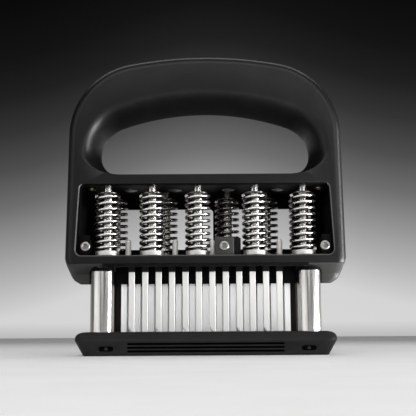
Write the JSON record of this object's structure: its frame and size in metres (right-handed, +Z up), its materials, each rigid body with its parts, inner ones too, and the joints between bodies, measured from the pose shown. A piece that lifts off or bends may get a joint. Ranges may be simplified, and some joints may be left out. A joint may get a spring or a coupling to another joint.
{
  "type": "blade meat tenderizer",
  "caption": "Hand-pressed meat tenderizer: an arched grip over a spring chamber slides on tube posts and pushes rows of flat blades through a slotted guard plate.",
  "frame": {"origin": "middle of the guard plate's flat underside, which rests on the meat or the table", "axes": "+X to the right along the handle, +Y from the front to the back, +Z up from the plate to the grip"},
  "size_m": [0.1592, 0.045, 0.1721],
  "materials": {
    "black_nylon": "moulded black nylon with a fine satin grain",
    "bush_plastic": "smooth black acetal",
    "bar_plastic": "moulded black plastic",
    "blade_steel": "ground stainless blade steel",
    "turned_steel": "turned stainless steel",
    "spring_steel": "drawn bright spring wire",
    "screw_steel": "zinc plated",
    "bright_steel": "polished",
    "tube_steel": "polished stainless tube"
  },
  "bodies": {
    "guard": {"guard_plate": "black_nylon", "front_post_left": "tube_steel", "front_post_right": "tube_steel", "rear_post_left": "tube_steel", "rear_post_right": "tube_steel", "guide_fin_left": "black_nylon", "guide_fin_right": "black_nylon", "spring_carrier": "black_nylon", "spring_seat_front_1": "turned_steel", "spring_seat_front_2": "turned_steel", "spring_seat_front_3": "turned_steel", "spring_seat_front_4": "turned_steel", "spring_seat_front_5": "turned_steel", "spring_seat_rear_1": "turned_steel", "spring_seat_rear_2": "turned_steel", "spring_seat_rear_3": "turned_steel", "spring_seat_rear_4": "turned_steel", "spring_seat_rear_5": "turned_steel", "spring_front_1": "spring_steel", "spring_front_2": "spring_steel", "spring_front_3": "spring_steel", "spring_front_4": "spring_steel", "spring_front_5": "spring_steel", "spring_rear_1": "spring_steel", "spring_rear_2": "spring_steel", "spring_rear_3": "spring_steel", "spring_rear_4": "spring_steel", "spring_rear_5": "spring_steel", "post_screws": "screw_steel"},
    "handle": {"handle_housing": "black_nylon", "top_rail": "black_nylon", "rail_screws": "screw_steel", "rail_rivets": "bright_steel", "spring_pin_front_1": "turned_steel", "spring_pin_front_2": "turned_steel", "spring_pin_front_3": "turned_steel", "spring_pin_front_4": "turned_steel", "spring_pin_front_5": "turned_steel", "spring_pin_rear_1": "turned_steel", "spring_pin_rear_2": "turned_steel", "spring_pin_rear_3": "turned_steel", "spring_pin_rear_4": "turned_steel", "spring_pin_rear_5": "turned_steel", "lower_body": "black_nylon", "front_bush_left": "bush_plastic", "front_bush_right": "bush_plastic", "rear_bush_left": "bush_plastic", "rear_bush_right": "bush_plastic", "front_blade_bar": "bar_plastic", "rear_blade_bar": "bar_plastic", "front_outer_blades": "blade_steel", "front_inner_blades": "blade_steel", "rear_outer_blades": "blade_steel", "rear_inner_blades": "blade_steel", "guide_studs": "bright_steel", "body_screws": "screw_steel"}
  },
  "joints": [
    {"name": "handle_slide", "type": "slide", "parent": "guard", "child": "handle", "axis": [0, 0, 1], "range_m": [-0.018, 0], "stiffness_N_per_m": 2200, "springref_m": 0.006, "deforming": ["spring_front_1", "spring_front_2", "spring_front_3", "spring_front_4", "spring_front_5", "spring_rear_1", "spring_rear_2", "spring_rear_3", "spring_rear_4", "spring_rear_5"]}
  ]
}
